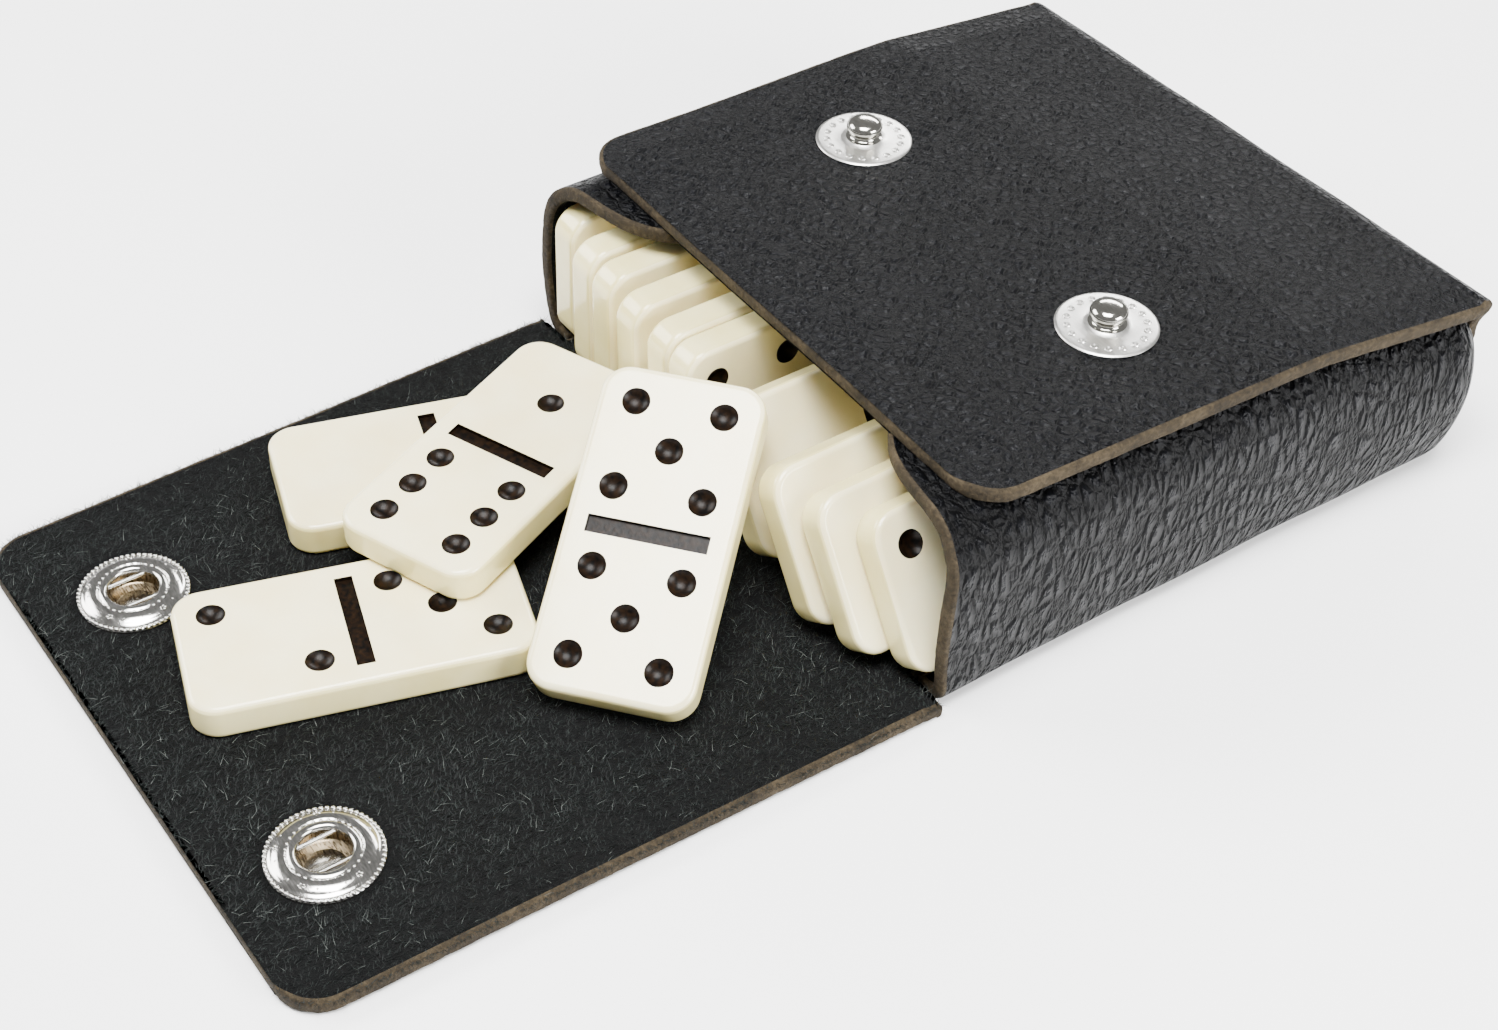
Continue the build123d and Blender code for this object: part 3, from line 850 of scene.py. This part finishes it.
def blank_mesh():
    """The block with rounded corners and edges, its long side along X."""
    bm = bmesh.new()
    size = Matrix.Diagonal((TILE_L * MM, TILE_W * MM, TILE_T * MM, 1))
    bmesh.ops.create_cube(bm, size=1.0, matrix=size)
    standing = [e for e in bm.edges if abs(e.verts[0].co.z - e.verts[1].co.z) > 1e-4]
    bmesh.ops.bevel(bm, geom=standing, offset=4.0 * MM, segments=10, profile=0.5, affect="EDGES",
                    material=-1)
    rims = [e for e in bm.edges if abs(e.verts[0].co.z - e.verts[1].co.z) < 1e-6
            and len({round(f.normal.z) for f in e.link_faces}) == 2]
    bmesh.ops.bevel(bm, geom=rims, offset=0.95 * MM, segments=5, profile=0.5, affect="EDGES",
                    material=-1)
    # top and bottom faces take the ivory, the sides take its darker copy as painted shade
    for face in bm.faces:
        face.material_index = 0 if abs(face.normal.z) > 0.5 else 1
    mesh = bpy.data.meshes.new("blank")
    bm.to_mesh(mesh)
    bm.free()
    return mesh


def cutter_mesh(low, high, seed):
    """Balls for the pips, with chips, and a slab for the bar."""
    random.seed(seed)
    bm = bmesh.new()
    top = TILE_T / 2
    bar_size = Matrix.Diagonal((2.5 * MM, 17 * MM, 1.3 * MM, 1))
    bmesh.ops.create_cube(bm, size=1.0, matrix=Matrix.Translation((0, 0, top * MM)) @ bar_size)
    ball = (PIP_R ** 2 + PIP_DEPTH ** 2) / (2 * PIP_DEPTH)
    for count, side in ((low, -1), (high, 1)):
        for along, across in PIPS[count]:
            x = side * HALF_CENTRE + along * PIP_STEP
            y = across * PIP_STEP
            centre = Matrix.Translation(Vector((x, y, top + ball - PIP_DEPTH)) * MM)
            made = bmesh.ops.create_uvsphere(bm, u_segments=28, v_segments=28,
                                             radius=ball * MM, matrix=centre)
            for vert in made["verts"]:
                if vert.co.z > (top + 0.5) * MM:
                    continue
                rough = noise.noise(vert.co * 900.0 + Vector((seed, 0, 0)))
                push = 1.0 + 0.02 * rough
                vert.co.x = x * MM + (vert.co.x - x * MM) * push
                vert.co.y = y * MM + (vert.co.y - y * MM) * push
    mesh = bpy.data.meshes.new("cutter")
    bm.to_mesh(mesh)
    bm.free()
    for polygon in mesh.polygons:
        polygon.material_index = 2
    return mesh


BLANK = blank_mesh()
for made in (IVORY, IVORY_SIDE_PAINTED_SHADE, PAINT):
    BLANK.materials.append(made)


def domino(low, high, matrix, body):
    name = f"tile_{low}_{high}"
    block = bpy.data.objects.new("block", BLANK)
    knife_mesh = cutter_mesh(low, high, low * 7 + high)
    for made in (IVORY, IVORY_SIDE_PAINTED_SHADE, PAINT):
        knife_mesh.materials.append(made)
    knife = bpy.data.objects.new("knife", knife_mesh)
    for part in (block, knife):
        bpy.context.scene.collection.objects.link(part)
    cut = block.modifiers.new("cut", "BOOLEAN")
    cut.operation, cut.object, cut.solver = "DIFFERENCE", knife, "EXACT"
    cut.material_mode = "TRANSFER"
    graph = bpy.context.evaluated_depsgraph_get()
    mesh = bpy.data.meshes.new_from_object(block.evaluated_get(graph))
    for part in (block, knife):
        bpy.data.objects.remove(part)
    mesh.name = f"{name}_body"
    mesh.transform(matrix)
    mesh.shade_smooth()
    mesh.set_sharp_from_angle(angle=math.radians(32))
    piece = bpy.data.objects.new(f"{name}_body", mesh)
    bpy.context.scene.collection.objects.link(piece)
    even = piece.modifiers.new("even", "WEIGHTED_NORMAL")
    even.keep_sharp = True
    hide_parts(name)
    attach(piece, body)


def frame_matrix(origin, long_axis, face):
    """Matrix that lays the block's X along long_axis and its Z along face."""
    side = face.cross(long_axis)
    turn = Matrix((long_axis, side, face)).transposed().to_4x4()
    return Matrix.Translation(place(origin)) @ turn


def upright(x_low, y_front, lean, lift):
    a = math.radians(lean)
    face = Vector((math.cos(a), 0, math.sin(a)))
    up = Vector((-math.sin(a), 0, math.cos(a)))
    centre = face * TILE_T / 2 + up * TILE_W / 2
    origin = (x_low + centre.x, y_front + TILE_L / 2, LEATHER + lift + centre.z)
    return frame_matrix(origin, Vector((0, 1, 0)), face)


def lying(x, y, z_face, turn, pitch):
    a, p = math.radians(turn), math.radians(pitch)
    long_axis = Vector((math.cos(a) * math.cos(p), math.sin(a) * math.cos(p), -math.sin(p)))
    face = Vector((math.cos(a) * math.sin(p), math.sin(a) * math.sin(p), math.cos(p)))
    origin = Vector((x, y, z_face)) - face * TILE_T / 2
    return frame_matrix(origin, long_axis, face)


# %% [markdown]
# Ten dominoes stand in the front row, the last four leaning to the left, fourteen stand behind
# them, and four lie on the flap. The numbers are the same as in the CAD, so every piece covers
# its own node.

# %% Dominoes in place
FRONT_ROW = [
    (-46.6, -0.7, 0.0, 0.05, (0, 0)), (-37.8, -3.0, 0.5, 0.05, (0, 1)),
    (-31.2, -3.6, 1.0, 0.05, (0, 2)), (-22.7, -4.6, 2.0, 0.05, (1, 1)),
    (-14.2, -4.7, 3.0, 0.05, (1, 2)), (-7.8, -4.8, 5.0, 0.05, (4, 6)),
    (14.5, -6.5, 33.5, 0.45, (0, 4)), (29.0, -8.6, 33.5, 0.45, (0, 6)),
    (36.7, -6.9, 33.5, 0.25, (1, 3)), (43.2, -2.7, 33.5, 0.05, (2, 4)),
]
BACK_ROW = [(0, 5), (1, 4), (1, 5), (2, 2), (2, 5), (2, 6), (3, 3),
            (3, 4), (3, 5), (3, 6), (4, 4), (4, 5), (5, 6), (6, 6)]
LOOSE = [
    (-25.97, -33.36, 7.55, 72.8, 0.0, (0, 3)), (-1.8, -59.9, 7.55, 72.6, 0.0, (2, 3)),
    (-14.3, -29.55, 14.05, -68.0, 2.6, (1, 6)), (15.6, -24.6, 18.5, -49.8, 29.75, (5, 5)),
]
for x, y, lean, lift, pips in FRONT_ROW:
    domino(*pips, upright(x, y, lean, lift), f"tile_{pips[0]}_{pips[1]}")
for index, pips in enumerate(BACK_ROW):
    domino(*pips, upright((index - 6.5) * 6.6 - TILE_T / 2, 49.8, 0.0, 0.05), "case")
for x, y, z, turn, pitch, pips in LOOSE:
    domino(*pips, lying(x, y, z, turn, pitch), f"tile_{pips[0]}_{pips[1]}")

# %% [markdown]
# ## Carried-over CAD nodes
# The rivet feet and the thin covers under the sockets keep their CAD shape and get nickel.

# %% Finish of the CAD nodes that stay
for side, x in SNAPS:
    for kind in ("rivet", "cap"):
        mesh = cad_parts[f"{side}_{kind}"].data
        mesh.materials.clear()
        mesh.materials.append(NICKEL)

# %% [markdown]
# ## Stage
# A white paper sweep, four soft boxes and a camera that looks down on the open mouth. Soft
# boxes give the snaps clear reflections, and the low one on the right rakes over the pebbles.

# %% Floor, light and camera
floor_material = bpy.data.materials.new("paper_sweep")
floor_material.use_nodes = True
floor_bsdf = floor_material.node_tree.nodes["Principled BSDF"]
floor_bsdf.inputs["Base Color"].default_value = (0.97, 0.97, 0.97, 1)
floor_bsdf.inputs["Roughness"].default_value = 0.85
floor_bm = bmesh.new()
bmesh.ops.create_grid(floor_bm, x_segments=1, y_segments=1, size=3.0)
floor = new_object("paper", floor_bm, (floor_material,))

world = bpy.data.worlds.new("studio")
bpy.context.scene.world = world
world.use_nodes = True
world.node_tree.nodes["Background"].inputs["Color"].default_value = (1.0, 1.0, 1.0, 1)
world.node_tree.nodes["Background"].inputs["Strength"].default_value = 0.34


def soft_box(name, location, aim, size, power):
    light = bpy.data.lights.new(name, "AREA")
    light.shape = "RECTANGLE"
    light.size, light.size_y = size
    light.energy = power
    lamp = bpy.data.objects.new(name, light)
    bpy.context.scene.collection.objects.link(lamp)
    lamp.location = location
    lamp.rotation_euler = (Vector(aim) - Vector(location)).to_track_quat("-Z", "Y").to_euler()


soft_box("overhead", (0.12, -0.16, 0.72), (0.0, -0.02, 0.0), (0.42, 0.36), 19.0)
soft_box("left_fill", (-0.55, -0.45, 0.40), (0.0, -0.03, 0.01), (0.45, 0.35), 9.0)
soft_box("right_side", (0.62, 0.22, 0.30), (0.0, 0.0, 0.02), (0.36, 0.26), 11.0)
soft_box("back_strip", (-0.42, 0.55, 0.40), (0.0, 0.0, 0.03), (0.50, 0.10), 4.5)

lens = bpy.data.cameras.new("main_view")
lens.lens = 58.0
lens.sensor_width = 36.0
lens.shift_x = -0.0118
lens.shift_y = -0.0660
lens.clip_start = 0.01
camera = bpy.data.objects.new("main_view", lens)
bpy.context.scene.collection.objects.link(camera)
camera.location = (0.212957, -0.207007, 0.236389)
camera.rotation_euler = [math.radians(angle) for angle in (50.25, -1.98, 54.32)]
bpy.context.scene.camera = camera

# %% [markdown]
# ## Finish

# %% Finish
bpy.context.view_layer.update()
